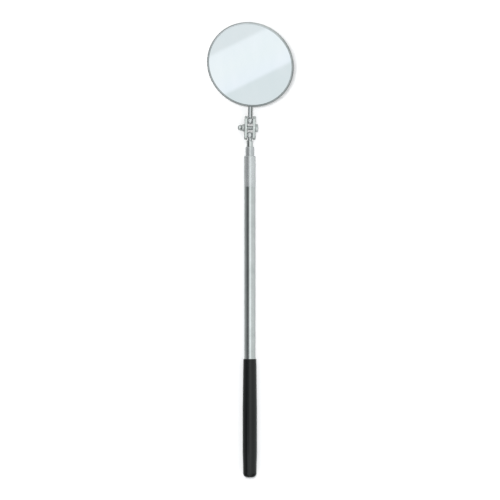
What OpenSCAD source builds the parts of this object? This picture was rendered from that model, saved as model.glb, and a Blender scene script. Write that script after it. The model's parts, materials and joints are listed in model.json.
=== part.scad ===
// Telescoping inspection mirror: a round mirror on a double ball clamp, at the end of a
// three-stage telescoping tube with a vinyl grip.
// The tool lies along Y with its mirror at +Y, facing up and a little tilted. X is to its right.
// Lengths along the tool are measured from the grip's butt end.

/* [Grip] */
// Length of the vinyl grip
grip_len = 77.3; // [72:0.1:85]
// Diameter of the grip's parallel barrel
grip_barrel_d = 9.3; // [9:0.1:10]
// Length of the parallel barrel
grip_barrel_len = 28; // [20:1:32]
// Diameter at the grip's mouth, where the tube comes out
grip_mouth_d = 8.45; // [8.1:0.05:8.9]
// Diameter at the grip's butt
grip_butt_d = 8.7; // [8.2:0.1:9]

/* [Tubes] */
// Outside diameter of the outer tube
outer_d = 7.1; // [7.05:0.05:7.2]
// Outside diameter of the middle tube
middle_d = 5.4; // [5.35:0.05:5.45]
// Outside diameter of the inner tube
inner_d = 4; // [3.95:0.05:4.05]
// Distance from the butt end to the outer tube's mouth
outer_reach = 209.4; // [180:0.1:240]
// Length of middle tube that shows when closed
middle_show = 5.9; // [4:0.1:10]
// Length of inner tube that shows when closed, up to its ball stud
inner_show = 3.4; // [3:0.1:6]

/* [Collar] */
// Outside diameter of the mouth collar
collar_d = 7.32; // [7.25:0.01:7.6]
// Length of the mouth collar
collar_len = 20; // [16:0.5:26]

/* [Ball clamp] */
// Diameter of the two balls
ball_d = 4.4; // [4.3:0.05:4.5]
// Distance between the two ball centres
ball_spacing = 9.4; // [9.2:0.1:11]
// Gap between the clamp plates
plate_gap = 3.6; // [3.55:0.05:3.65]
// Thickness of a clamp plate
plate_t = 1.8; // [1.4:0.1:2]
// Radius of the plate's ends, round about each ball
plate_end_r = 3; // [2.8:0.1:3.1]
// Radius of the plate's waist, round about the screw
plate_mid_r = 3.9; // [3.2:0.1:4]
// Diameter of the thumb screw's thread
screw_d = 2.84; // [2.5:0.02:2.9]
// Sideways lean of the clamp, degrees
clamp_lean = 1.5; // [0:0.5:6]

/* [Mirror head] */
// Outside diameter of the mirror case
case_d = 57.15; // [50:0.05:60]
// Depth of the mirror case
case_depth = 2.4; // [2.4:0.1:3.4]
// Distance from the upper ball to the middle of the mirror
head_reach = 39.3; // [38:0.1:44]
// Diameter of the stem
stem_d = 3; // [2.6:0.1:3]
// How far the stem rises above the line of the tubes, degrees
stem_rise = 20.8; // [0:0.1:30]
// How far the mirror is turned about its stem, degrees
head_roll = -11.6; // [-30:0.1:30]
// How far the stem points to the right, degrees
head_yaw = 1.2; // [0:0.1:4]

/* [Hidden] */
$fn = 96;

// Radial clearance of a part that turns or slides in another
run = 0.05;
// Clearance between neighbours that don't move on each other
gap = 0.02;
// Overlap of a cutting shape past the face it cuts
cut = 1;
// Steps in a quarter-round corner
corner_steps = 6;

// The origin is in the middle of the grip's parallel barrel
barrel_start = 16;
origin_s = barrel_start + grip_barrel_len / 2;

// Grip
grip_floor = 3.2;
grip_butt_round = 2.4;
grip_butt_len = 7;
grip_mouth_round = 0.45;
grip_shoulder_s = 66;
grip_shoulder_d = 8.7;

// Tubes
outer_r = outer_d / 2;
outer_bore_r = 3.15;
middle_r = middle_d / 2;
middle_bore_r = 2.35;
inner_r = inner_d / 2;
inner_bore_r = 1.65;
outer_start = grip_floor + 0.8;
collar_lip = 0.7;
outer_end = outer_reach - collar_lip;
collar_seat_r = 3.42;
collar_taper = 2;
collar_round = 0.35;
middle_start = 12.5;
middle_end = outer_reach + middle_show;
inner_start = 21.5;
inner_end = middle_end + inner_show;
plug_len = 5;

// Friction sleeves, stop beads and bushes
flange_t = 1.5;
bead_t = 1;
bead_stand = 0.26;
sleeve_play = 0.3;
sleeve_slit = 0.7;
middle_sleeve_len = 13.4;
inner_sleeve_len = 11.4;
middle_bead_s = middle_start + middle_sleeve_len + 2 * sleeve_play;
inner_bead_s = inner_start + inner_sleeve_len + 2 * sleeve_play;
guide_len = 15;
mouth_bush_len = 9.7;

// Ball clamp, in its own frame with the lower ball at the origin and the screw along X
ball_r = ball_d / 2;
seat_r = ball_r + run;
sight_r = 0.9;
neck_r = 1;
stud_neck_r = 1.3;
shoulder_reach = 3.6;
taper_reach = 3.05;
lower_ball_s = inner_end + shoulder_reach + 0.7;
screw_y = ball_spacing / 2;
screw_r = screw_d / 2;
screw_hole_r = screw_r + 0.08;
plate_in = plate_gap / 2;
plate_out = plate_in + plate_t;
plate_round = 0.45;
washer_t = 0.4;
washer_r = 2.4;
nut_flats = 4.76;
nut_t = 1.1;
nut_out = plate_out + washer_t + nut_t;
hub_r = 2.3;
hub_len = 1.25;
wing_len = 2.7;
wing_w = 8.4;
wing_root_t = 3.6;
wing_tip_t = 2.7;

// Mirror head, in its own frame with the upper ball at the origin and the stem along Y
stem_r = stem_d / 2;
stem_neck_end = 2.2;
stem_cone_end = 2.6;
pin_depth = 1.2;
stem_round_end = 16;
tongue_w = 6.4;
tongue_t = 1.1;
tongue_start = 14.5;
tongue_end = 33;
rivet_s = [20.5, 29];
rivet_r = 0.9;
rivet_head_r = 1.7;
rivet_head_h = 0.7;
rivet_tail_r = 1.4;
rivet_tail_h = 0.28;
case_back = stem_r;
case_r = case_d / 2;
case_wall = 0.45;
case_back_round = 1;
case_lip_r = case_r - 1.2;
case_rim_round = 0.5;
pad_t = 0.3;
glass_t = 1.18;
glass_r = case_r - case_wall - 0.15;
glass_bevel = 0.3;
swell_r = 12;
swell_w = 1.6;
swell_h = 0.25;

// Points of an arc about [x, y], from angle a to angle b
function arc(x, y, r, a, b, steps = corner_steps) =
  [for (i = [0:steps]) [x + r * cos(a + (b - a) * i / steps), y + r * sin(a + (b - a) * i / steps)]];

// Stands a shape drawn about Z on the tool's centreline, at a distance from the butt end
module along(s) translate([0, s - origin_s, 0]) rotate([-90, 0, 0]) children();

// Revolves an outline of [radius, distance from the butt end] about the centreline
module turned(points) along(0) rotate_extrude() polygon(points);

module tube(r_out, r_in, start, end)
  along(start) difference() {
    cylinder(r = r_out, h = end - start);
    translate([0, 0, -cut]) cylinder(r = r_in, h = end - start + 2 * cut);
  }

// The clamp's frame and the mirror head's frame
module at_clamp() translate([0, lower_ball_s - origin_s, 0]) rotate([0, 0, -clamp_lean]) children();

module at_upper_ball() at_clamp() translate([0, ball_spacing, 0]) rotate([0, 0, clamp_lean - head_yaw]) children();

module at_head() at_upper_ball() rotate([stem_rise, 0, 0]) rotate([0, head_roll, 0]) children();

// The mirror's frame: its axis is Z, from the back of the case
module at_mirror() at_head() translate([0, head_reach, case_back]) children();

// A shape drawn about Z, turned to lie along X
module across(x) translate([x, 0, 0]) rotate([0, 90, 0]) children();

module grip() {
  butt_r = grip_butt_d / 2;
  barrel_r = grip_barrel_d / 2;
  mouth_r = grip_mouth_d / 2;
  color("#1c1c1e") difference() {
    turned(concat(
      [[0, 0]],
      arc(butt_r - grip_butt_round, grip_butt_round, grip_butt_round, -90, 0),
      [[butt_r, grip_butt_len],
       [barrel_r, barrel_start],
       [barrel_r, barrel_start + grip_barrel_len],
       [grip_shoulder_d / 2, grip_shoulder_s]],
      arc(mouth_r - grip_mouth_round, grip_len - grip_mouth_round, grip_mouth_round, 0, 90),
      [[0, grip_len]]));
    along(grip_floor) cylinder(r = outer_r + gap, h = grip_len);
  }
}

module outer_tube() color("#c9ccd0") difference() {
  tube(outer_r, outer_bore_r, outer_start, outer_end);
  tube(outer_r + cut, collar_seat_r, outer_reach - collar_len, outer_reach);
}

module end_plug() color("#3a3a3c") {
  along(grip_floor + gap) cylinder(r = outer_r, h = outer_start - grip_floor - gap);
  along(outer_start) cylinder(r = outer_bore_r - gap, h = plug_len);
}

module mouth_collar() {
  r = collar_d / 2;
  start = outer_reach - collar_len;
  color("#d4d6da") difference() {
    turned(concat(
      [[0, start], [outer_r, start], [r, start + collar_taper]],
      arc(r - collar_round, outer_reach - collar_round, collar_round, 0, 90),
      [[0, outer_reach]]));
    along(start - cut) cylinder(r = collar_seat_r + gap, h = collar_len - collar_lip + cut);
    along(start) cylinder(r = middle_r + 3 * run, h = collar_len + cut);
  }
}

module guide_bush() color("#b08d4a")
  tube(outer_bore_r - gap, middle_r + run, outer_end - guide_len, outer_end);

// A split spring sleeve that rubs on the bore outside it
module split_sleeve(bore_r, tube_r, start, len) difference() {
  tube(bore_r - run, tube_r + run, start, start + len);
  along(start - cut) translate([-sleeve_slit / 2, 0, 0]) cube([sleeve_slit, bore_r + cut, len + 2 * cut]);
}

module middle_friction_sleeve() color("#b5762f")
  split_sleeve(outer_bore_r, middle_r, middle_start + sleeve_play, middle_sleeve_len);

module inner_friction_sleeve() color("#b5762f")
  split_sleeve(middle_bore_r, inner_r, inner_start + sleeve_play, inner_sleeve_len);

// A telescoping tube with the stop bead that ends its travel
module beaded_tube(r, bore_r, start, end, bead_s) {
  difference() {
    union() {
      along(start) cylinder(r = r, h = end - start);
      along(bead_s) cylinder(r = r + bead_stand, h = bead_t);
    }
    along(start - cut) cylinder(r = bore_r, h = end - start + 2 * cut);
  }
}

module middle_tube() color("#b9bcc0")
  beaded_tube(middle_r, middle_bore_r, middle_start, middle_end, middle_bead_s);

module inner_tube() color("#d0d2d6")
  beaded_tube(inner_r, inner_bore_r, inner_start, inner_end, inner_bead_s);

// A plug in a tube's lower end, whose flange keeps the friction sleeve on
module end_bush(tube_r, bore_r, start) {
  along(start - flange_t) cylinder(r = tube_r + bead_stand, h = flange_t);
  along(start) cylinder(r = bore_r - gap, h = plug_len);
}

module middle_end_bush() color("#b08d4a") end_bush(middle_r, middle_bore_r, middle_start);

module inner_end_bush() color("#b08d4a") end_bush(inner_r, inner_bore_r, inner_start);

module middle_mouth_bush() color("#b08d4a")
  tube(middle_bore_r - gap, inner_r + run, middle_end - gap - mouth_bush_len, middle_end - gap);

module ball_stud() color("#c4c6ca") difference() {
  turned([
    [0, inner_end - plug_len],
    [inner_bore_r - gap, inner_end - plug_len],
    [inner_bore_r - gap, inner_end],
    [inner_r, inner_end],
    [inner_r, lower_ball_s - shoulder_reach],
    [stud_neck_r, lower_ball_s - taper_reach],
    [stud_neck_r, lower_ball_s],
    [0, lower_ball_s]]);
  along(lower_ball_s) sphere(r = seat_r);
}

module lower_ball() color("#b7b9bd") at_clamp() sphere(r = ball_r);

// Outline of a clamp plate: round ends about the balls and a wider waist about the screw
module plate_outline() {
  slope = asin((plate_mid_r - plate_end_r) / screw_y);
  polygon(concat(
    arc(0, 0, plate_end_r, 270 - slope, 90 + slope, 2 * corner_steps),
    arc(screw_y, 0, plate_mid_r, 90 + slope, 90 - slope, 2),
    arc(ball_spacing, 0, plate_end_r, 90 - slope, slope - 90, 2 * corner_steps),
    arc(screw_y, 0, plate_mid_r, slope - 90, -90 - slope, 2)));
}

// One clamp plate, between x = plate_in and x = plate_out, with a seat for each ball
module clamp_plate() difference() {
  translate([plate_in, 0, 0]) rotate([90, 0, 90]) linear_extrude(plate_t) plate_outline();
  for (y = [0, ball_spacing]) translate([0, y, 0]) {
    sphere(r = seat_r);
    across(0) cylinder(r = sight_r, h = plate_out + cut);
  }
  translate([0, screw_y, 0]) across(0) cylinder(r = screw_hole_r, h = plate_out + cut);
}

module clamp_plate_right() color("#cfd1d5") at_clamp() clamp_plate();

module clamp_plate_left() color("#cfd1d5") at_clamp() mirror([1, 0, 0]) clamp_plate();

// A split ring washer under the nut
module lock_washer() color("#9fa2a6") at_clamp() translate([0, screw_y, 0]) difference() {
  across(plate_out) cylinder(r = washer_r, h = washer_t);
  across(plate_out - cut) cylinder(r = screw_hole_r, h = washer_t + 2 * cut);
  translate([plate_out - cut, 0, -0.2]) cube([washer_t + 2 * cut, washer_r + cut, 0.4]);
}

module clamp_nut() color("#c0c2c6") at_clamp() translate([0, screw_y, 0]) difference() {
  intersection() {
    across(plate_out + washer_t) rotate([0, 0, 15]) cylinder(d = nut_flats / cos(30), h = nut_t, $fn = 6);
    across(plate_out + washer_t) cylinder(r1 = 3, r2 = 2.45, h = nut_t);
  }
  across(plate_out) cylinder(r = screw_r + run, h = nut_t + 2 * cut);
}

module flat_washer() color("#b9bbbf") at_clamp() translate([0, screw_y, 0]) difference() {
  across(-plate_out - washer_t) cylinder(r = washer_r, h = washer_t);
  across(-plate_out - washer_t - cut) cylinder(r = screw_hole_r, h = washer_t + 2 * cut);
}

// Screw with a round hub and a tapering thumb wing
module thumb_screw() {
  hub_in = -plate_out - washer_t;
  hub_out = hub_in - hub_len;
  color("#d6d8dc") at_clamp() translate([0, screw_y, 0]) {
    across(hub_in) cylinder(r = screw_r, h = nut_out - hub_in + 0.1);
    across(hub_out) cylinder(r1 = hub_r - 0.5, r2 = hub_r, h = hub_len);
    intersection() {
      translate([hub_out, 0, -wing_w / 2]) linear_extrude(wing_w) polygon([
        [0.6, wing_root_t / 2], [-wing_len, wing_tip_t / 2],
        [-wing_len, -wing_tip_t / 2], [0.6, -wing_root_t / 2]]);
      translate([hub_out + 2.2, 0, 0]) rotate([-90, 0, 0]) cylinder(r = wing_len + 2.2, h = 2 * hub_r, center = true);
      across(hub_out - wing_len) cylinder(r = wing_w / 2, h = wing_len + 0.6);
    }
  }
}

module upper_ball() color("#b7b9bd") at_upper_ball() difference() {
  sphere(r = ball_r);
  rotate([stem_rise, 0, 0]) translate([0, -pin_depth, 0]) rotate([-90, 0, 0]) cylinder(r = neck_r + run, h = ball_d);
}

module mirror_stem() color("#cfd1d5") at_head() {
  rotate([-90, 0, 0]) rotate_extrude() polygon([
    [0, -pin_depth + run],
    [neck_r, -pin_depth + run],
    [neck_r, stem_neck_end],
    [stem_r, stem_cone_end],
    [stem_r, stem_round_end - 1],
    [stem_r - 0.4, stem_round_end],
    [0, stem_round_end]]);
  difference() {
    union() {
      translate([-tongue_w / 2, tongue_start, case_back - tongue_t])
        cube([tongue_w, tongue_end - tongue_start - tongue_w / 2, tongue_t]);
      for (y = [tongue_start, tongue_end - tongue_w / 2])
        translate([0, y, case_back - tongue_t]) cylinder(r = tongue_w / 2, h = tongue_t);
    }
    for (y = rivet_s) translate([0, y, 0]) cylinder(r = rivet_r + gap, h = case_back + cut);
  }
}

module stem_rivets() color("#8f9296") at_head() for (y = rivet_s) translate([0, y, case_back - tongue_t]) {
  translate([0, 0, -rivet_head_h]) cylinder(r1 = rivet_head_r - 0.6, r2 = rivet_head_r, h = rivet_head_h);
  cylinder(r = rivet_r, h = tongue_t + case_wall);
  translate([0, 0, tongue_t + case_wall]) cylinder(r = rivet_tail_r, h = rivet_tail_h);
}

// One-piece pressed case whose rim is rolled in over the glass
module mirror_case() color("#c6c8cc") at_mirror() difference() {
  rotate_extrude($fn = 180) polygon(concat(
    [[0, 0]],
    [[swell_r - swell_w, 0], [swell_r, swell_h], [swell_r + swell_w, 0]],
    arc(case_r - case_back_round, case_back_round, case_back_round, -90, 0),
    arc(case_r - case_rim_round, case_depth - case_rim_round, case_rim_round, 0, 90),
    [[case_lip_r, case_depth - 0.15],
     [case_lip_r, case_depth - case_wall],
     [case_r - case_wall, case_depth - case_wall],
     [case_r - case_wall, case_back_round],
     [case_r - case_back_round, case_wall],
     [0, case_wall]]));
  for (y = rivet_s) translate([0, y - head_reach, -cut]) cylinder(r = rivet_r + gap, h = case_wall + 2 * cut);
}

module cushion_pad() color("#6b5a45") at_mirror() difference() {
  translate([0, 0, case_wall]) cylinder(r = case_r - case_back_round - 0.3, h = pad_t);
  for (y = rivet_s) translate([0, y - head_reach, 0]) cylinder(r = rivet_tail_r + 0.2, h = 2 * cut);
}

module mirror_glass() color("#dfe8ee") at_mirror() translate([0, 0, case_wall + pad_t])
  rotate_extrude($fn = 180) polygon([
    [0, 0],
    [glass_r, 0],
    [glass_r, glass_t - glass_bevel],
    [glass_r - glass_bevel, glass_t],
    [0, glass_t]]);

grip();
outer_tube();
end_plug();
mouth_collar();
guide_bush();
middle_friction_sleeve();
middle_tube();
middle_end_bush();
middle_mouth_bush();
inner_friction_sleeve();
inner_tube();
inner_end_bush();
ball_stud();
lower_ball();
clamp_plate_right();
lock_washer();
clamp_nut();
clamp_plate_left();
flat_washer();
thumb_screw();
upper_ball();
mirror_stem();
stem_rivets();
mirror_case();
cushion_pad();
mirror_glass();
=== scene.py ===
import json
import math

import bmesh
import bpy
from mathutils import Matrix, Vector

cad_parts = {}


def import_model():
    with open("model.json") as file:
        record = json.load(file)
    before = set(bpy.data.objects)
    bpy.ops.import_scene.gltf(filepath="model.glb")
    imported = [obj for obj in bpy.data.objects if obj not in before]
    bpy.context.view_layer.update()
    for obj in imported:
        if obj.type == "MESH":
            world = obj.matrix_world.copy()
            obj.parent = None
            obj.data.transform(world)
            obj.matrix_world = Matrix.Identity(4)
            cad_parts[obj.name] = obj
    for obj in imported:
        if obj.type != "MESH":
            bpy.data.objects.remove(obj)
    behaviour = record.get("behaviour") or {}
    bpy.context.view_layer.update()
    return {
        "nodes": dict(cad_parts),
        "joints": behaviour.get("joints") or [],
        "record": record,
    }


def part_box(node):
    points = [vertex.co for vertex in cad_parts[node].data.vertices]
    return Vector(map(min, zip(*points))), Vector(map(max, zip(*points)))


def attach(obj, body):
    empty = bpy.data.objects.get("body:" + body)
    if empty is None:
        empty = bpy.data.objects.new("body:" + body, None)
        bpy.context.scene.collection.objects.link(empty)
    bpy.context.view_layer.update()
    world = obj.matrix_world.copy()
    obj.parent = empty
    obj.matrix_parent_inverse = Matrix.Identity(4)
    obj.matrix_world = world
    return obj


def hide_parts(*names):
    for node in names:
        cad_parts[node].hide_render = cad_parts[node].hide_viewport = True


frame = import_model()

MM = 0.001
WELD = 0.008  # points closer than this, in millimetres, become one where meshes are united
SAME_PLACE = 1e-7  # metres: closer than this counts as the same place
SHARP_DEG = 38  # an edge that turns by more than this stays sharp
ROLL_DEG = -11.6  # how far the mirror is turned about its stem, at rest


def joint(name):
    return next(j for j in frame["joints"] if j["name"] == name)


def reach(node):
    """A node's lowest and highest place along the tool, and its radius about the tool's line."""
    low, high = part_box(node)
    return low.y, high.y, (high.x - low.x) / 2


# Places. The tool's line is Y; the clamp and the mirror head have frames of their own.
LOWER_BALL = Vector(joint("clamp_swing")["pos_m"])
UPPER_BALL = Vector(joint("mirror_swing")["pos_m"])
SCREW_AXIS = Vector(joint("clamp_swing")["axis"])
STEM_AXIS = Vector(joint("mirror_roll")["axis"])
BALL_SPACING = (UPPER_BALL - LOWER_BALL).length
SCREW_Y = BALL_SPACING / 2
ALONG = Matrix.Rotation(-math.pi / 2, 4, "X")
LEAN = math.atan2(SCREW_AXIS.y, SCREW_AXIS.x)
CLAMP = Matrix.Translation(LOWER_BALL) @ Matrix.Rotation(LEAN, 4, "Z")
YAW = math.atan2(STEM_AXIS.x, STEM_AXIS.y)
RISE = math.asin(STEM_AXIS.z)
HEAD = (Matrix.Translation(UPPER_BALL) @ Matrix.Rotation(-YAW, 4, "Z") @ Matrix.Rotation(RISE, 4, "X")
        @ Matrix.Rotation(math.radians(ROLL_DEG), 4, "Y"))
SCREW = CLAMP @ Matrix.Translation((0, SCREW_Y, 0))
ACROSS = Matrix.Rotation(math.pi / 2, 4, "Y")

# Sizes of the clamp and the head, in metres
BALL_R = 2.2 * MM
SEAT_R = 2.25 * MM
PLATE_IN = 1.8 * MM
PLATE_OUT = 3.6 * MM
PLATE_END_R = 3.0 * MM
PLATE_MID_R = 3.9 * MM
SIGHT_R = 0.9 * MM
SCREW_R = 1.42 * MM
SCREW_HOLE_R = 1.5 * MM
THREAD_PITCH = 0.635 * MM
THREAD_DEPTH = 0.3 * MM
WASHER_T = 0.4 * MM
WASHER_R = 2.4 * MM
NUT_FLATS = 4.76 * MM
NUT_T = 1.1 * MM
HUB_R = 2.3 * MM
HUB_LEN = 1.25 * MM
WING_LEN = 2.7 * MM
WING_HALF_W = 4.2 * MM
STUD_NECK_R = 1.3 * MM
STEM_R = 1.5 * MM
HEAD_REACH = 39.3 * MM
CASE_R = 28.575 * MM
CASE_DEPTH = 2.4 * MM
CASE_WALL = 0.45 * MM
LIP_W = 1.2 * MM
GLASS_LOW = 0.75 * MM
GLASS_HIGH = 1.93 * MM
GLASS_R = 27.97 * MM
TONGUE_T = 1.1 * MM
TONGUE_W = 6.4 * MM
TONGUE_END = 33 * MM
RIVET_YS = (20.5 * MM, 29 * MM)
MIRROR = HEAD @ Matrix.Translation((0, HEAD_REACH, STEM_R))


# ---------------------------------------------------------------- mesh tools

def rounded(points, steps=5):
    """Points (a, b) or (a, b, radius) of an outline. A corner with a radius becomes an arc."""
    out = []
    for i, point in enumerate(points):
        here = Vector(point[:2])
        if len(point) < 3:
            out.append(here)
            continue
        back = (Vector(points[i - 1][:2]) - here).normalized()
        ahead = (Vector(points[(i + 1) % len(points)][:2]) - here).normalized()
        half = back.angle(ahead) / 2
        radius = point[2]
        centre = here + (back + ahead).normalized() * radius / math.sin(half)
        start = here + back * radius / math.tan(half) - centre
        end = here + ahead * radius / math.tan(half) - centre
        turn = start.angle_signed(end)
        for k in range(steps + 1):
            spin = Matrix.Rotation(-turn * k / steps, 2)
            out.append(centre + spin @ start)
    return out


def arc(a, b, radius, first, last, steps):
    """Points on a circle about (a, b), from one angle to another in degrees."""
    angles = [math.radians(first + (last - first) * k / steps) for k in range(steps + 1)]
    return [Vector((a + radius * math.cos(t), b + radius * math.sin(t))) for t in angles]


def ring_faces(bm, one, other):
    """Faces between two rings of vertices. A ring may be one vertex, repeated."""
    count = len(one)
    for k in range(count):
        m = (k + 1) % count
        corners = list(dict.fromkeys((one[k], one[m], other[m], other[k])))
        if len(corners) > 2:
            bm.faces.new(corners)


def spokes(sides):
    """Angles of evenly spread spokes."""
    return [2 * math.pi * k / sides for k in range(sides)]


def lathe(outline, sides, closed=False):
    """The outline (radius, height) turned about Z. A closed one also joins its last point to its first."""
    bm = bmesh.new()
    rings = []
    for radius, height in outline:
        if radius < SAME_PLACE:
            rings.append([bm.verts.new((0, 0, height))] * sides)
            continue
        ring = [(radius * math.cos(t), radius * math.sin(t), height) for t in spokes(sides)]
        rings.append([bm.verts.new(point) for point in ring])
    for one, other in zip(rings, rings[1:] + (rings[:1] if closed else [])):
        ring_faces(bm, one, other)
    return bm


def loft(sections, closed_ends=True):
    """A skin over rings of points, with its two ends filled unless it meets itself."""
    bm = bmesh.new()
    rings = [[bm.verts.new(p) for p in section] for section in sections]
    for one, other in zip(rings, rings[1:]):
        ring_faces(bm, one, other)
    if closed_ends:
        bm.faces.new(rings[0])
        bm.faces.new(rings[-1])
    return bm


def oval(half_a, half_b, power, count=56):
    """Points of a superellipse: power 2 is an ellipse, and a higher power is nearer a rectangle."""
    points = []
    for k in range(count):
        t = 2 * math.pi * k / count
        c, s = math.cos(t), math.sin(t)
        points.append((half_a * math.copysign(abs(c) ** (2 / power), c),
                       half_b * math.copysign(abs(s) ** (2 / power), s)))
    return points


def join(*meshes):
    """Several bmeshes that don't touch, as one."""
    whole = bmesh.new()
    for bm in meshes:
        part = bpy.data.meshes.new("part")
        bm.to_mesh(part)
        bm.free()
        whole.from_mesh(part)
        bpy.data.meshes.remove(part)
    return whole


def united(*meshes):
    """Closed bmeshes that overlap, as one closed skin. The union is made at a millimetre scale."""
    parts = []
    for bm in meshes:
        outward(bm)
        bm.transform(Matrix.Scale(1 / MM, 4))
        part = bpy.data.meshes.new("part")
        bm.to_mesh(part)
        bm.free()
        parts.append(bpy.data.objects.new("part", part))
        bpy.context.scene.collection.objects.link(parts[-1])
    for other in parts[1:]:
        union = parts[0].modifiers.new("union", "BOOLEAN")
        union.operation = "UNION"
        union.solver = "EXACT"
        union.object = other
    bpy.context.view_layer.update()
    result = parts[0].evaluated_get(bpy.context.evaluated_depsgraph_get())
    whole = bmesh.new()
    whole.from_mesh(result.to_mesh())
    result.to_mesh_clear()
    for part in parts:
        bpy.data.meshes.remove(part.data)  # this removes the object too
    bmesh.ops.remove_doubles(whole, verts=whole.verts, dist=WELD)
    bmesh.ops.triangulate(whole, faces=whole.faces, quad_method="SHORT_EDGE", ngon_method="BEAUTY")
    bmesh.ops.dissolve_degenerate(whole, edges=whole.edges, dist=WELD)
    whole.transform(Matrix.Scale(MM, 4))
    return whole


def outward(bm):
    """Turns every face of a closed bmesh to look outward."""
    bmesh.ops.recalc_face_normals(bm, faces=bm.faces)
    if bm.calc_volume(signed=True) < 0:
        bmesh.ops.reverse_faces(bm, faces=bm.faces)


def moved(bm, matrix):
    bm.transform(matrix)
    return bm


def piece(name, bm, place, body, material, node):
    """Makes the object, sets its smooth shading, hangs it on its body and hides the CAD node that it stands
    for.
    """
    bm.transform(place)
    outward(bm)
    for face in bm.faces:
        face.smooth = True
    for edge in bm.edges:
        edge.smooth = len(edge.link_faces) == 2 and edge.calc_face_angle(0) < math.radians(SHARP_DEG)
    mesh = bpy.data.meshes.new(name)
    bm.to_mesh(mesh)
    bm.free()
    mesh.materials.append(material)
    obj = bpy.data.objects.new(name, mesh)
    bpy.context.scene.collection.objects.link(obj)
    obj.modifiers.new("flat_faces_stay_flat", "WEIGHTED_NORMAL").keep_sharp = True
    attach(obj, body)
    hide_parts(node)


# ---------------------------------------------------------------- materials

def new_material(name):
    mat = bpy.data.materials.new(name)
    mat.use_nodes = True
    tree = mat.node_tree
    return mat, tree, tree.nodes["Principled BSDF"]


def noise(tree, scale, stretch=(1, 1, 1), detail=3, rough=0.55):
    """A noise in the object's own coordinates. scale counts features a metre."""
    coords = tree.nodes.new("ShaderNodeTexCoord")
    mapping = tree.nodes.new("ShaderNodeMapping")
    mapping.inputs["Scale"].default_value = stretch
    texture = tree.nodes.new("ShaderNodeTexNoise")
    texture.inputs["Scale"].default_value = scale
    texture.inputs["Detail"].default_value = detail
    texture.inputs["Roughness"].default_value = rough
    tree.links.new(coords.outputs["Object"], mapping.inputs["Vector"])
    tree.links.new(mapping.outputs["Vector"], texture.inputs["Vector"])
    return texture.outputs["Fac"]


def spread(tree, value, low, high, to_low, to_high):
    """Maps low..high of a value to to_low..to_high."""
    node = tree.nodes.new("ShaderNodeMapRange")
    for key, number in (("From Min", low), ("From Max", high), ("To Min", to_low), ("To Max", to_high)):
        node.inputs[key].default_value = number
    tree.links.new(value, node.inputs["Value"])
    return node.outputs["Result"]


def colour_ramp(tree, stops):
    """A colour ramp with a stop for each (position, colour), in order."""
    ramp = tree.nodes.new("ShaderNodeValToRGB")
    elements = ramp.color_ramp.elements
    elements[0].position, elements[1].position = stops[0][0], stops[-1][0]
    elements[0].color, elements[1].color = (*stops[0][1], 1), (*stops[-1][1], 1)
    for position, colour in stops[1:-1]:
        elements.new(position).color = (*colour, 1)
    return ramp


def two_tone(tree, value, dark, light):
    ramp = colour_ramp(tree, [(0.35, dark), (0.65, light)])
    tree.links.new(value, ramp.inputs["Fac"])
    return ramp.outputs["Color"]


def bump(tree, shader, height, strength, distance):
    node = tree.nodes.new("ShaderNodeBump")
    node.inputs["Strength"].default_value = strength
    node.inputs["Distance"].default_value = distance
    tree.links.new(height, node.inputs["Height"])
    tree.links.new(node.outputs["Normal"], shader.inputs["Normal"])


def painted_rim_shade(tree, colour):
    """The colour, with painted shade multiplied in where the mesh's rim mark is set."""
    mark = tree.nodes.new("ShaderNodeAttribute")
    mark.attribute_name = "rim"
    mix = tree.nodes.new("ShaderNodeMix")
    mix.data_type = "RGBA"
    mix.blend_type = "MULTIPLY"
    tree.links.new(mark.outputs["Fac"], mix.inputs["Factor"])
    tree.links.new(colour, mix.inputs[6])
    # the painted shade's colour, where the rim mark is full
    mix.inputs[7].default_value = (0.45, 0.46, 0.45, 1)
    return mix.outputs[2]


def metal(name, dark, light, rough, grain=(1, 1, 1), grain_scale=900, metallic=1, shade=None):
    """Plated or bare metal: blotchy tone, a fine grain that may run one way, and uneven roughness. shade,
    if given, paints shade into the tone.
    """
    mat, tree, shader = new_material(name)
    shader.inputs["Metallic"].default_value = metallic
    blotch = noise(tree, 140, detail=4)
    fine = noise(tree, grain_scale, grain, detail=5, rough=0.65)
    tone = two_tone(tree, blotch, dark, light)
    tree.links.new(shade(tree, tone) if shade else tone, shader.inputs["Base Color"])
    tree.links.new(spread(tree, fine, 0.3, 0.7, rough[0], rough[1]), shader.inputs["Roughness"])
    bump(tree, shader, fine, 0.15, 0.02 * MM)
    return mat


def vinyl(name):
    """Dipped black vinyl: a soft gloss, a faint orange-peel and dull rubbed patches."""
    mat, tree, shader = new_material(name)
    wear = noise(tree, 60, (1, 0.35, 1), detail=5)
    peel = noise(tree, 1400, detail=2)
    tree.links.new(two_tone(tree, wear, (0.003, 0.0034, 0.0038), (0.0058, 0.0066, 0.0068)),
                   shader.inputs["Base Color"])
    tree.links.new(spread(tree, wear, 0.3, 0.7, 0.17, 0.28), shader.inputs["Roughness"])
    shader.inputs["Specular IOR Level"].default_value = 0.31
    shader.inputs["Coat Weight"].default_value = 0.16
    shader.inputs["Coat Roughness"].default_value = 0.12
    bump(tree, shader, peel, 0.12, 0.03 * MM)
    return mat


def silvered_glass(name):
    """Mirror: almost clean, with faint wipe marks that dull it. Its tone goes with PANEL_STRENGTH."""
    mat, tree, shader = new_material(name)
    shader.inputs["Metallic"].default_value = 1
    wipe = noise(tree, 90, (1, 0.25, 1), detail=4)
    tree.links.new(two_tone(tree, wipe, (0.664, 0.694, 0.701), (0.686, 0.709, 0.716)),
                   shader.inputs["Base Color"])
    tree.links.new(spread(tree, wipe, 0.45, 0.8, 0.012, 0.035), shader.inputs["Roughness"])
    shader.inputs["Coat Weight"].default_value = 0.3
    shader.inputs["Coat Roughness"].default_value = 0.01
    return mat


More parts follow.
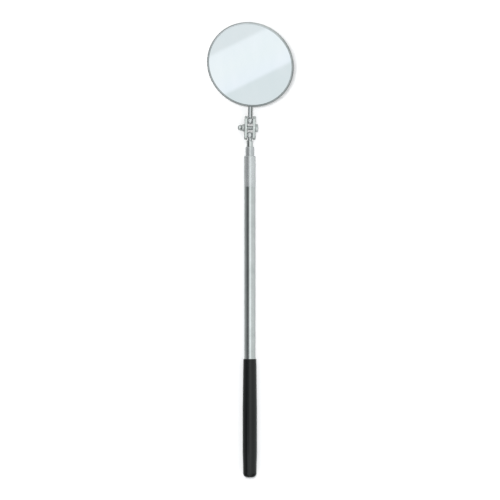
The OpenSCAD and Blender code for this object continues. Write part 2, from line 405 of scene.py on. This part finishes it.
def dull(name, dark, light, rough, fibre=(1, 1, 1)):
    """A matt non-metal: moulded plastic or board."""
    mat, tree, shader = new_material(name)
    tone = noise(tree, 700, fibre, detail=6, rough=0.7)
    tree.links.new(two_tone(tree, tone, dark, light), shader.inputs["Base Color"])
    tree.links.new(spread(tree, tone, 0.3, 0.7, rough[0], rough[1]), shader.inputs["Roughness"])
    bump(tree, shader, tone, 0.3, 0.05 * MM)
    return mat


DRAWN = (1, 0.03, 1)  # grain that runs along the tubes
MATERIALS = {
    "grip_vinyl": vinyl("black_vinyl"),
    "tube_chrome": metal("tube_chrome", (0.62, 0.64, 0.65), (0.70, 0.715, 0.73), (0.10, 0.2), DRAWN),
    "collar_chrome": metal("collar_chrome", (0.6, 0.615, 0.63), (0.67, 0.685, 0.7), (0.2, 0.3), DRAWN,
                           metallic=0.78),
    "middle_chrome": metal("middle_chrome", (0.55, 0.565, 0.58), (0.63, 0.645, 0.66), (0.22, 0.34), DRAWN,
                           metallic=0.8),
    "inner_chrome": metal("inner_chrome", (0.66, 0.675, 0.69), (0.74, 0.75, 0.76), (0.08, 0.16), DRAWN),
    "clamp_chrome": metal("clamp_chrome", (0.64, 0.66, 0.66), (0.72, 0.74, 0.74), (0.14, 0.26)),
    "screw_chrome": metal("screw_chrome", (0.68, 0.69, 0.7), (0.77, 0.78, 0.78), (0.12, 0.22)),
    "stem_chrome": metal("stem_chrome", (0.64, 0.655, 0.665), (0.73, 0.74, 0.75), (0.10, 0.2), DRAWN),
    # the case's rolled rim takes painted shade from its rim mark
    "case_chrome": metal("case_chrome", (0.62, 0.64, 0.65), (0.71, 0.725, 0.735), (0.1, 0.2),
                         shade=painted_rim_shade),
    "ball_steel": metal("ground_steel", (0.68, 0.69, 0.7), (0.78, 0.79, 0.8), (0.24, 0.36),
                        grain_scale=1600, metallic=0.85),
    "washer_steel": metal("washer_zinc", (0.5, 0.51, 0.52), (0.62, 0.63, 0.65), (0.25, 0.4)),
    "rivet_steel": metal("rivet_zinc", (0.48, 0.49, 0.5), (0.6, 0.61, 0.63), (0.25, 0.42)),
    "bush_brass": metal("turned_brass", (0.62, 0.43, 0.17), (0.74, 0.55, 0.26), (0.2, 0.35)),
    "spring_bronze": metal("spring_bronze", (0.5, 0.29, 0.13), (0.64, 0.4, 0.2), (0.22, 0.38)),
    "plug_plastic": dull("moulded_plastic", (0.012, 0.012, 0.013), (0.03, 0.03, 0.032), (0.5, 0.7)),
    "pad_board": dull("grey_board", (0.2, 0.16, 0.11), (0.32, 0.27, 0.2), (0.8, 0.95), fibre=(1, 1, 6)),
    "mirror": silvered_glass("silvered_glass"),
}

SLOT_OF = {s["node"]: s["material_slot"] for s in frame["record"]["subparts"]}


def make(name, bm, place, body, node):
    """A piece that stands for a node, in that node's slot and material."""
    slot = SLOT_OF[node]
    piece(name, bm, place, body, MATERIALS[slot], node)


# ---------------------------------------------------------------- handle

def grip():
    y0, y1, r = reach("grip")
    y0 += 0.2 * MM  # the dipped end is soft and stands a little inside the solid's
    tube_r = reach("outer_tube")[2]
    bore = tube_r + 0.02 * MM
    butt_r, mouth_r = 4.35 * MM, 4.22 * MM
    swell_from, full_from, full_to = 5 * MM, 16 * MM, 44 * MM  # distances from the butt
    dimple, end_wall = 0.25 * MM, 3.2 * MM
    swell = [(butt_r + (r - butt_r) * (k / 6) ** 1.4, y0 + swell_from + (full_from - swell_from) * k / 6)
             for k in range(7)]
    run = y1 - y0 - full_to - 0.8 * MM
    narrow = [(r + (mouth_r - r) * (k / 12) ** 1.08, y0 + full_to + run * (k / 12)) for k in range(1, 13)]
    outline = rounded(
        [(0, y0 + dimple), (1 * MM, y0 + dimple, 0.1 * MM), (1.25 * MM, y0, 0.15 * MM),
         (butt_r, y0, 2.75 * MM), *swell, (r, y0 + full_to), *narrow,
         (mouth_r, y1, 0.4 * MM), (tube_r + 0.25 * MM, y1, 0.2 * MM), (bore, y1 - 0.4 * MM),
         (bore, y0 + end_wall), (0, y0 + end_wall)])
    make("grip_sleeve", lathe(outline, 96), ALONG, "handle", "grip")


def pipe(node, bore, body, mouth_round, bead=None):
    """A tube with rounded ends. bead is (place along the tube, height) of its stop bead, if it has one."""
    y0, y1, r = reach(node)
    foot_round = 0.1 * MM
    if bead:
        r -= bead[1]
    outline = [(r, y0, foot_round), (bore, y0, foot_round / 2),
               (bore, y1, mouth_round / 2), (r, y1, mouth_round)]
    if bead:
        bead_at, bead_h = bead
        y = y0 + bead_at
        outline += [(r, y + 1.1 * MM, 0.15 * MM), (r + bead_h, y + 0.95 * MM, 0.12 * MM),
                    (r + bead_h, y + 0.15 * MM, 0.12 * MM), (r, y, 0.15 * MM)]
    make(node + "_pipe", lathe(rounded(outline), 80, True), ALONG, body, node)


def mouth_collar():
    y0, y1, r = reach("mouth_collar")
    tube_r = reach("outer_tube")[2]
    lip_bore, seat, lip_t = 2.85 * MM, 3.44 * MM, 0.7 * MM
    outline = rounded(
        [(tube_r + 0.005 * MM, y0), (r - 0.02 * MM, y0 + 2 * MM, 1.2 * MM), (r, y0 + 2.6 * MM),
         (r, y1, 0.42 * MM), (lip_bore, y1, 0.18 * MM), (lip_bore, y1 - lip_t), (seat, y1 - lip_t),
         (seat, y0)])
    make("mouth_collar_ferrule", lathe(outline, 80, True), ALONG, "handle", "mouth_collar")


# ---------------------------------------------------------------- clamp

def ball_stud():
    y0, _, r = reach("ball_stud")
    ball_y = LOWER_BALL.y
    bore = 1.63 * MM
    tube_end = reach("inner_tube")[1] + 0.01 * MM
    cone_from, cone_to = ball_y - 3.75 * MM, ball_y - 3.25 * MM
    nest_edge = math.degrees(-math.acos(STUD_NECK_R / SEAT_R))
    nest = arc(0, ball_y, SEAT_R, -90, nest_edge, 8)
    outline = rounded(
        [(0, y0), (bore, y0, 0.3 * MM), (bore, tube_end), (r, tube_end, 0.12 * MM),
         (r, cone_from, 0.2 * MM), (STUD_NECK_R, cone_to, 0.2 * MM)])
    make("ball_stud_neck", lathe(outline + nest[::-1], 64), ALONG, "inner_stage", "ball_stud")


def ball_points(first, last, steps):
    """Points of a ball's surface between two angles in degrees from the pole at +height."""
    angles = [math.radians(first + (last - first) * k / steps) for k in range(steps + 1)]
    return [(BALL_R * math.sin(t), BALL_R * math.cos(t)) for t in angles]


def balls():
    flat = 14  # degrees from the pole to the edge of the flat ground on each ball
    flat_height = BALL_R * math.cos(math.radians(flat))
    plain = [(0, -flat_height)] + [(r, -height) for r, height in ball_points(flat, 180, 36)]
    place = Matrix.Translation(LOWER_BALL) @ Matrix.Rotation(math.pi / 2, 4, "X")
    make("lower_ball_ground", lathe(plain, 64), place, "lower_ball", "lower_ball")
    bore, chamfer, bore_end = 1.05 * MM, 0.1 * MM, -1.2 * MM
    edge = math.degrees(math.asin((bore + chamfer) / BALL_R))
    drilled = [(0, bore_end), (bore, bore_end), (bore, BALL_R * math.cos(math.radians(edge)) - chamfer),
               *ball_points(edge, 180 - flat, 34), (0, -flat_height)]
    make("upper_ball_ground", lathe(drilled, 64), HEAD @ ALONG, "upper_ball", "upper_ball")


def plate_outline():
    """Points and outward normals of the plate's outline in the clamp's YZ plane."""
    slope = math.asin((PLATE_MID_R - PLATE_END_R) / SCREW_Y)
    up, down = math.pi / 2 + slope, math.pi / 2 - slope
    stretches = [(0, PLATE_END_R, -up, up - 2 * math.pi, 20), (SCREW_Y, PLATE_MID_R, up, down, 4),
                 (BALL_SPACING, PLATE_END_R, down, -down, 20), (SCREW_Y, PLATE_MID_R, -down, -up, 4)]
    points = []
    for y, radius, first, last, steps in stretches:
        for k in range(steps + 1):
            t = first + (last - first) * k / steps
            normal = Vector((math.cos(t), math.sin(t)))
            points.append((Vector((y, 0)) + normal * radius, normal))
    return points


def clamp_plate(side):
    """side is 1 for the right plate and -1 for the left one."""
    bm = bmesh.new()
    outline = plate_outline()
    edge = rounded([(0.6 * MM, PLATE_IN), (0, PLATE_IN, 0.22 * MM),
                    (0, PLATE_OUT, 0.5 * MM), (0.9 * MM, PLATE_OUT)])
    rings = []
    for inset, x in edge[1:-1]:
        rings.append([bm.verts.new((side * x, *(p - n * inset))) for p, n in outline])
    for one, other in zip(rings, rings[1:]):
        ring_faces(bm, one, other)
    inner, outer = [rings[0]], [rings[-1]]
    seat_edge = math.sqrt(SEAT_R ** 2 - PLATE_IN ** 2)
    seat_radii = [seat_edge + (SIGHT_R - seat_edge) * k / 5 for k in range(6)]
    seat = [(r, math.sqrt(SEAT_R ** 2 - r ** 2)) for r in seat_radii]
    ball_hole = [(seat_edge + 0.1 * MM, PLATE_IN)] + seat + [
        (SIGHT_R, PLATE_OUT - 0.15 * MM), (SIGHT_R + 0.05 * MM, PLATE_OUT - 0.05 * MM),
        (SIGHT_R + 0.18 * MM, PLATE_OUT)]
    chamfer = 0.12 * MM
    screw_hole = [(SCREW_HOLE_R + chamfer, PLATE_IN), (SCREW_HOLE_R, PLATE_IN + chamfer),
                  (SCREW_HOLE_R, PLATE_OUT - chamfer), (SCREW_HOLE_R + chamfer, PLATE_OUT)]
    for y, profile in ((0, ball_hole), (BALL_SPACING, ball_hole), (SCREW_Y, screw_hole)):
        loops = []
        for radius, x in profile:
            loop = [(side * x, y + radius * math.cos(t), radius * math.sin(t)) for t in spokes(40)]
            loops.append([bm.verts.new(point) for point in loop])
        for one, other in zip(loops, loops[1:]):
            ring_faces(bm, one, other)
        inner.append(loops[0])
        outer.append(loops[-1])
    for group in (inner, outer):
        edges = [bm.edges.get((ring[k - 1], ring[k])) for ring in group for k in range(len(ring))]
        bmesh.ops.triangle_fill(bm, edges=[e for e in edges if e], use_beauty=True, normal=(1, 0, 0))
    return bm


def thread(r_out, depth, pitch, start, end):
    """A screw thread about X between two places, with its ends closed. It runs out at the far end."""
    sides, per_turn = 48, 10
    rings = []
    count = int((end - start) / pitch * per_turn)
    for i in range(count + 1):
        x = start + (end - start) * i / count
        fade = min(1, (end - x) / pitch)
        ring = []
        for k in range(sides):
            phase = (x / pitch - k / sides) % 1
            cut = min(1, max(0, abs(2 * phase - 1) * 1.5 - 0.2)) * depth  # flanks, with flats between
            r = r_out - cut - (1 - fade) * depth * 0.8
            t = 2 * math.pi * k / sides
            ring.append((x, r * math.cos(t), r * math.sin(t)))
        rings.append(ring)
    return loft(rings)


def thumb_screw():
    hub_in = -PLATE_OUT - WASHER_T
    hub_out = hub_in - HUB_LEN
    nut_out = PLATE_OUT + WASHER_T + NUT_T
    shank = thread(SCREW_R, THREAD_DEPTH, THREAD_PITCH, hub_in - 0.3 * MM, nut_out + 0.1 * MM)
    clear = 0.02 * MM  # the hub stands this far off its washer
    hub = lathe(rounded([(0, clear), (HUB_R, clear, 0.22 * MM),
                         (HUB_R - 0.03 * MM, HUB_LEN * 0.72, 0.2 * MM),
                         (1.55 * MM, HUB_LEN, 0.2 * MM), (0, HUB_LEN)]), 64)
    hub.transform(Matrix.Translation((hub_in, 0, 0)) @ Matrix.Rotation(-math.pi / 2, 4, "Y"))
    sections = []
    stations = 24
    root = 0.4 * MM  # how deep the wing's root sits in the hub
    thickest, widest, tip_from = 0.36, 0.55, 0.72  # shares of the wing's length
    for i in range(stations + 1):
        t = i / stations
        x = hub_out + root - (WING_LEN + root) * t
        half_t = (1.2 + 0.6 * math.sin(math.pi / 2 * min(1, t / thickest))
                  - 0.45 * max(0, t - thickest) / 0.64) * MM
        half_w = WING_HALF_W * (0.55 + 0.45 * math.sin(math.pi / 2 * min(1, t / widest)))
        tip = max(0, (t - tip_from) / 0.28)
        half_t *= math.sqrt(1 - 0.9 * tip ** 2.5)
        half_w *= math.sqrt(1 - 0.55 * tip ** 2)
        sections.append([Vector((x, a, b)) for a, b in oval(half_t, half_w, 3)])
    whole = united(shank, hub, loft(sections))
    make("thumb_screw_wing", whole, SCREW, "thumb_screw", "thumb_screw")


def clamp_nut():
    start, end = PLATE_OUT + WASHER_T, PLATE_OUT + WASHER_T + NUT_T
    corner = NUT_FLATS / 2 / math.cos(math.pi / 6)
    sides = 96
    rings = []
    bore = SCREW_R + 0.05 * MM
    chamfer = 0.22 * MM  # at both ends of the bore
    step = 0.03 * MM
    xs = [start + step * k for k in range(9)] + [end - step * k for k in range(14, -1, -1)]

    def rim(x):
        """Largest radius that the chamfers of the two faces leave at x."""
        near_plate = corner - 0.42 * MM + (x - start) * 2.2
        far_face = corner - 0.62 * MM + (end - x) * 1.7
        return min(corner, near_plate, far_face)

    for x in xs:
        ring = []
        for t in spokes(sides):
            flat = (t - math.radians(15)) % (math.pi / 3) - math.pi / 6
            hexagon = min(NUT_FLATS / 2 / math.cos(flat), corner - 0.08 * MM)
            r = min(hexagon, rim(x))
            ring.append((x, r * math.cos(t), r * math.sin(t)))
        rings.append(ring)
    hole = [[(x, r * math.cos(t), r * math.sin(t)) for t in spokes(sides)]
            for x, r in ((end, bore + chamfer), (end - chamfer, bore),
                         (start + chamfer, bore), (start, bore + chamfer))]
    bm = loft(rings + hole + rings[:1], closed_ends=False)
    bmesh.ops.remove_doubles(bm, verts=bm.verts, dist=SAME_PLACE)
    make("clamp_nut_hex", bm, SCREW, "clamp", "clamp_nut")


def washers():
    place = SCREW @ ACROSS
    inner = SCREW_HOLE_R
    low, high = -PLATE_OUT - WASHER_T, -PLATE_OUT
    section = rounded([(inner, low, 0.06 * MM), (WASHER_R, low, 0.12 * MM), (WASHER_R, high, 0.06 * MM),
                       (inner, high, 0.06 * MM)], steps=3)
    make("flat_washer_ring", lathe(section, 64, True), place, "left_plate", "flat_washer")
    section = rounded([(inner, 0, 0.05 * MM), (WASHER_R, 0, 0.1 * MM), (WASHER_R, WASHER_T, 0.1 * MM),
                       (inner, WASHER_T, 0.05 * MM)], steps=3)
    split = math.radians(5)  # half of the gap in the lock washer
    rings = []
    for k in range(73):
        t = split + (2 * math.pi - 2 * split) * k / 72
        rings.append([(p.x * math.cos(t), p.x * math.sin(t), PLATE_OUT + p.y) for p in section])
    make("lock_washer_ring", loft(rings), place, "clamp", "lock_washer")


# ---------------------------------------------------------------- mirror head

def mirror_stem():
    """A round wire, flattened under the mirror case and rounded off at its tip."""
    top = STEM_R
    taper_from, taper_to = 12.5 * MM, 17 * MM  # where the round wire becomes the flat tongue
    sections = []

    def add(y, half_w, half_t, centre, power):
        sections.append([Vector((a, y, centre + b)) for a, b in oval(half_w, half_t, power)])

    # the thin end in the ball, its shoulder, and the round wire: (place, radius) in millimetres
    for y, r in ((-1.15, 0.85), (-1.05, 0.97), (2.0, 0.97), (2.12, 1.0), (2.25, 1.12), (2.45, 1.38),
                 (2.6, 1.47), (2.8, 1.5), (7, 1.5), (12.5, 1.5)):
        add(y * MM, r * MM, r * MM, 0, 2)
    for k in range(1, 13):
        t = k / 12
        ease = t * t * (3 - 2 * t)
        half_t = STEM_R + (TONGUE_T / 2 - STEM_R) * ease
        half_w = STEM_R + (TONGUE_W / 2 - STEM_R) * ease
        add(taper_from + (taper_to - taper_from) * t, half_w, half_t, top - half_t, 2 + 4 * ease)
    straight = TONGUE_END - TONGUE_W / 2
    for k in range(1, 5):
        add(taper_to + (straight - taper_to) * k / 4, TONGUE_W / 2, TONGUE_T / 2, top - TONGUE_T / 2, 6)
    for k in range(1, 13):
        t = math.radians(88) * k / 12
        shrink = TONGUE_T / 2 * (0.72 + 0.28 * math.cos(t))
        add(straight + TONGUE_W / 2 * math.sin(t), TONGUE_W / 2 * math.cos(t), shrink,
            top - TONGUE_T / 2, 5)
    make("mirror_stem_wire", loft(sections), HEAD, "mirror_head", "mirror_stem")


def rivets():
    head_r, head_h = 1.7 * MM, 0.7 * MM
    shank_r, foot_r, foot_h = 0.9 * MM, 1.4 * MM, 0.28 * MM
    under = STEM_R - TONGUE_T
    inside = STEM_R + CASE_WALL
    angles = [math.radians(t) for t in range(0, 91, 10)]
    dome = [(head_r * math.sin(t), under - head_h * math.cos(t)) for t in angles]
    outline = [*dome, (shank_r, under), (shank_r, inside), (foot_r, inside),
               (foot_r - 0.1 * MM, inside + foot_h), (0, inside + foot_h)]
    both = join(*[moved(lathe(outline, 40), Matrix.Translation((0, y, 0))) for y in RIVET_YS])
    make("stem_rivet_heads", both, HEAD, "mirror_head", "stem_rivets")


def mirror_case():
    lip_r = CASE_R - LIP_W
    lip_under = CASE_DEPTH - CASE_WALL + 0.02 * MM
    inner_r = CASE_R - CASE_WALL
    swell_r, swell_w, swell_h = 12 * MM, 1.6 * MM, 0.25 * MM  # a pressed ring in the back
    step_r, step_w, step_h = 23.5 * MM, 0.5 * MM, 0.12 * MM   # and a finer one near the rim
    outline = rounded(
        [(0, 0), (swell_r - swell_w, 0, 0.8 * MM), (swell_r, swell_h, 0.8 * MM),
         (swell_r + swell_w, 0, 0.8 * MM), (step_r, 0, 0.4 * MM), (step_r + step_w, step_h, 0.4 * MM),
         (step_r + 2 * step_w, 0, 0.4 * MM), (CASE_R - 0.15 * MM, 0, 0.95 * MM),
         (CASE_R - 0.12 * MM, 1.2 * MM, 0.4 * MM), (CASE_R, 1.5 * MM, 0.3 * MM),
         (CASE_R, CASE_DEPTH, 0.58 * MM), (lip_r, CASE_DEPTH - 0.06 * MM, 0.18 * MM),
         (lip_r, lip_under, 0.08 * MM), (inner_r, lip_under), (inner_r, 1 * MM),
         (CASE_R - MM, CASE_WALL), (0, CASE_WALL)], steps=6)
    bm = lathe(outline, 192)
    # The rim mark paints shade into the rolled rim: dark along its sides, darkest at its foot, and fading
    # out towards its top, which is left light as if lit.
    rim = bm.verts.layers.float.new("rim")
    painted_shade_depth = 0.78
    for vert in bm.verts:
        radius = vert.co.xy.length
        if radius > lip_r - MM and vert.co.z > 0.6 * MM:
            upper = (0.985 * vert.co.y - 0.17 * vert.co.x) / radius  # 1 at the rim's top, -1 at its foot
            vert[rim] = (painted_shade_depth - painted_shade_depth * max(0, upper) ** 2.5
                         + (1 - painted_shade_depth) * max(0, -upper) ** 2.5)
    make("mirror_case_pressing", bm, MIRROR, "mirror_head", "mirror_case")


def mirror_glass():
    bevel = 0.3 * MM
    outline = rounded([(0, GLASS_LOW), (GLASS_R, GLASS_LOW, 0.1 * MM),
                       (GLASS_R, GLASS_HIGH - bevel, 0.1 * MM), (GLASS_R - bevel, GLASS_HIGH, 0.05 * MM),
                       (GLASS_R - 0.4 * MM, GLASS_HIGH), (GLASS_R - 0.5 * MM, GLASS_HIGH), (0, GLASS_HIGH)])
    make("mirror_glass_disc", lathe(outline, 192), MIRROR, "mirror_head", "mirror_glass")


# ---------------------------------------------------------------- studio

# In metres. The camera looks straight down, and the square picture shows PHOTO_SPAN of the table.
FLOOR_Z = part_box("grip")[0].z
PHOTO_SPAN = 0.3255
CAMERA_UP = 2.4
CAMERA_X = 0.15 * MM
CAMERA_Y = 0.1182
PANEL_HALF = 0.16
PANEL_AWAY = 0.7
PANEL_STRENGTH = 1.333  # makes up for a glass that is set to reflect less than real silver
BAND_HALF = 0.0158
BAND_DEG = 34


def floor():
    bm = bmesh.new()
    bmesh.ops.create_grid(bm, x_segments=4, y_segments=4, size=6)
    mesh = bpy.data.meshes.new("floor")
    bm.to_mesh(mesh)
    bm.free()
    obj = bpy.data.objects.new("floor", mesh)
    bpy.context.scene.collection.objects.link(obj)
    obj.location = (0, CAMERA_Y, FLOOR_Z - 0.05 * MM)  # just clear of the grip
    mat, _, shader = new_material("white_table")
    shader.inputs["Base Color"].default_value = (0.93, 0.93, 0.93, 1)
    shader.inputs["Roughness"].default_value = 0.9
    shader.inputs["Specular IOR Level"].default_value = 0
    mesh.materials.append(mat)
    obj.visible_glossy = False


def world():
    """White for the camera and for soft light. What the metal mirrors is a studio: a dark side to the
    left, a bright strip overhead and a pale side to the right, all running along the tool, with a
    darker room beyond the butt end and a pale one beyond the mirror. A stop is (degrees, brightness),
    and its degrees go from overhead (0) down to the right (90), to below (180), and left (-90)."""
    scene = bpy.context.scene
    scene.world = bpy.data.worlds.new("studio")
    scene.world.use_nodes = True
    tree = scene.world.node_tree
    nodes, links = tree.nodes, tree.links
    nodes.clear()
    out = nodes.new("ShaderNodeOutputWorld")
    plain = nodes.new("ShaderNodeBackground")
    plain.inputs["Color"].default_value = (0.97, 0.985, 1, 1)
    plain.inputs["Strength"].default_value = 0.88
    seen = nodes.new("ShaderNodeBackground")
    seen.inputs["Color"].default_value = (1, 1, 1, 1)
    seen.inputs["Strength"].default_value = 1
    studio = nodes.new("ShaderNodeBackground")
    coords = nodes.new("ShaderNodeTexCoord")
    split = nodes.new("ShaderNodeSeparateXYZ")
    links.new(coords.outputs["Generated"], split.inputs["Vector"])
    angle = nodes.new("ShaderNodeMath")
    angle.operation = "ARCTAN2"
    links.new(split.outputs["X"], angle.inputs[0])
    links.new(split.outputs["Z"], angle.inputs[1])
    place = nodes.new("ShaderNodeMapRange")
    place.inputs["From Min"].default_value = -math.pi
    place.inputs["From Max"].default_value = math.pi
    links.new(angle.outputs[0], place.inputs["Value"])
    stops = [(-180, 0.5), (-130, 0.52), (-117, 0.5), (-95, 0.38), (-84, 0.33), (-72, 0.2), (-58, 0.11),
             (-40, 0.13), (-26, 0.2), (-15, 0.45), (-2, 1.15), (8, 1.3), (22, 1.1), (38, 0.78), (106, 0.76),
             (140, 0.62), (180, 0.5)]
    front_stops = [(-180, 0.55), (-130, 0.5), (-105, 0.1), (-66, 0.05), (-50, 0.5), (0, 0.95), (50, 0.6),
                   (66, 0.08), (105, 0.1), (130, 0.5), (180, 0.55)]
    back_stops = [(-180, 0.55), (-110, 0.5), (-85, 0.4), (-60, 0.55), (-30, 0.8), (0, 0.96), (40, 0.9),
                  (70, 0.78), (110, 0.6), (180, 0.55)]

    def along_tool(stops):
        ramp = colour_ramp(tree, [((degrees + 180) / 360, (value * 0.94, value, value * 0.975))
                                  for degrees, value in stops])
        links.new(place.outputs["Result"], ramp.inputs["Fac"])
        return ramp.outputs["Color"]

    def share_of_y(none, whole):
        """0 where the direction's Y is at none, rising smoothly to 1 at whole."""
        step = nodes.new("ShaderNodeMapRange")
        step.interpolation_type = "SMOOTHSTEP"
        step.inputs["From Min"].default_value = none
        step.inputs["From Max"].default_value = whole
        links.new(split.outputs["Y"], step.inputs["Value"])
        return step.outputs["Result"]

    def blend_rooms(room, other_room, share):
        mix = nodes.new("ShaderNodeMix")
        mix.data_type = "RGBA"
        links.new(share, mix.inputs["Factor"])
        links.new(room, mix.inputs[6])
        links.new(other_room, mix.inputs[7])
        return mix.outputs[2]

    rooms = blend_rooms(along_tool(stops), along_tool(front_stops), share_of_y(-0.16, -0.34))
    rooms = blend_rooms(rooms, along_tool(back_stops), share_of_y(0.16, 0.34))
    links.new(rooms, studio.inputs["Color"])
    path = nodes.new("ShaderNodeLightPath")
    gloss = nodes.new("ShaderNodeMixShader")
    links.new(path.outputs["Is Glossy Ray"], gloss.inputs["Fac"])
    links.new(plain.outputs[0], gloss.inputs[1])
    links.new(studio.outputs[0], gloss.inputs[2])
    eye = nodes.new("ShaderNodeMixShader")
    links.new(path.outputs["Is Camera Ray"], eye.inputs["Fac"])
    links.new(gloss.outputs[0], eye.inputs[1])
    links.new(seen.outputs[0], eye.inputs[2])
    links.new(eye.outputs[0], out.inputs["Surface"])


def mirror_panel():
    """What the mirror shows at rest: a pale panel with a brighter diagonal band, seen by gloss only."""
    centre = MIRROR @ Vector((0, 0, GLASS_HIGH))
    normal = (MIRROR.to_3x3() @ Vector((0, 0, 1))).normalized()
    eye = Vector((CAMERA_X, CAMERA_Y, CAMERA_UP))
    inward = (centre - eye).normalized()
    away = inward - 2 * inward.dot(normal) * normal  # where the photo's line of sight goes from the glass
    bm = bmesh.new()
    bmesh.ops.create_grid(bm, x_segments=1, y_segments=1, size=PANEL_HALF)
    mesh = bpy.data.meshes.new("mirror_panel")
    bm.to_mesh(mesh)
    bm.free()
    obj = bpy.data.objects.new("mirror_panel", mesh)
    bpy.context.scene.collection.objects.link(obj)
    across = Vector((1, 0, 0))
    across = (across - across.dot(away) * away).normalized()
    up = (-away).cross(across)
    turn = Matrix((across, up, -away)).transposed().to_4x4()
    band_shift = 5.1 * MM
    obj.matrix_world = Matrix.Translation(centre + away * PANEL_AWAY - up * band_shift) @ turn
    mat = bpy.data.materials.new("mirror_panel")
    mat.use_nodes = True
    tree = mat.node_tree
    tree.nodes.clear()
    out = tree.nodes.new("ShaderNodeOutputMaterial")
    emit = tree.nodes.new("ShaderNodeEmission")
    emit.inputs["Strength"].default_value = PANEL_STRENGTH
    coords = tree.nodes.new("ShaderNodeTexCoord")
    mapping = tree.nodes.new("ShaderNodeMapping")
    mapping.inputs["Rotation"].default_value = (0, 0, math.radians(BAND_DEG))
    split = tree.nodes.new("ShaderNodeSeparateXYZ")
    tree.links.new(coords.outputs["Object"], mapping.inputs["Vector"])
    tree.links.new(mapping.outputs["Vector"], split.inputs["Vector"])
    place = tree.nodes.new("ShaderNodeMapRange")
    place.inputs["From Min"].default_value = -PANEL_HALF
    place.inputs["From Max"].default_value = PANEL_HALF
    tree.links.new(split.outputs["Y"], place.inputs["Value"])
    half = BAND_HALF / (2 * PANEL_HALF)
    edge = 0.008
    ramp = colour_ramp(tree, [
        (0, (0.78, 0.83, 0.85)), (0.5 - half - edge, (0.78, 0.83, 0.85)), (0.5 - half, (0.9, 0.95, 0.98)),
        (0.5, (0.91, 0.96, 0.98)), (0.5 + half, (0.9, 0.95, 1.0)),
        (0.5 + half + edge, (0.76, 0.82, 0.84)), (1, (0.75, 0.81, 0.83))])
    tree.links.new(place.outputs["Result"], ramp.inputs["Fac"])
    tree.links.new(ramp.outputs["Color"], emit.inputs["Color"])
    tree.links.new(emit.outputs[0], out.inputs["Surface"])
    mesh.materials.append(mat)
    for flag in ("visible_camera", "visible_diffuse", "visible_shadow", "visible_transmission"):
        setattr(obj, flag, False)


def lights():
    """One lamp for the shadows, above, a little to the left and towards the mirror."""
    data = bpy.data.lights.new("key", "AREA")
    data.shape = "DISK"
    data.size = 0.15
    data.energy = 9
    lamp = bpy.data.objects.new("key", data)
    target = Vector((0, CAMERA_Y, 0))
    lamp.location = target + Vector((-0.065, 0.12, 1.4))
    lamp.rotation_euler = (target - lamp.location).to_track_quat("-Z", "Y").to_euler()
    lamp.visible_glossy = False
    bpy.context.scene.collection.objects.link(lamp)


def camera():
    data = bpy.data.cameras.new("camera")
    data.sensor_width = 36
    data.lens = data.sensor_width * CAMERA_UP / PHOTO_SPAN
    obj = bpy.data.objects.new("camera", data)
    obj.location = (CAMERA_X, CAMERA_Y, CAMERA_UP)
    bpy.context.scene.collection.objects.link(obj)
    bpy.context.scene.camera = obj


bpy.context.scene.view_settings.view_transform = "Standard"

grip()
pipe("outer_tube", 3.15 * MM, "handle", 0.1 * MM)
mouth_collar()
pipe("middle_tube", 2.35 * MM, "middle_stage", 0.28 * MM, bead=(13.9 * MM, 0.26 * MM))
pipe("inner_tube", 1.65 * MM, "inner_stage", 0.12 * MM, bead=(11.9 * MM, 0.26 * MM))
ball_stud()
balls()
make("clamp_plate_right_pressing", clamp_plate(1), CLAMP, "clamp", "clamp_plate_right")
make("clamp_plate_left_pressing", clamp_plate(-1), CLAMP, "left_plate", "clamp_plate_left")
thumb_screw()
clamp_nut()
washers()
mirror_stem()
rivets()
mirror_case()
mirror_glass()
# The CAD's own solids, for the pieces that are shown as they are
for node, obj in frame["nodes"].items():
    obj.data.materials.clear()
    obj.data.materials.append(MATERIALS[SLOT_OF[node]])

floor()
world()
mirror_panel()
lights()
camera()
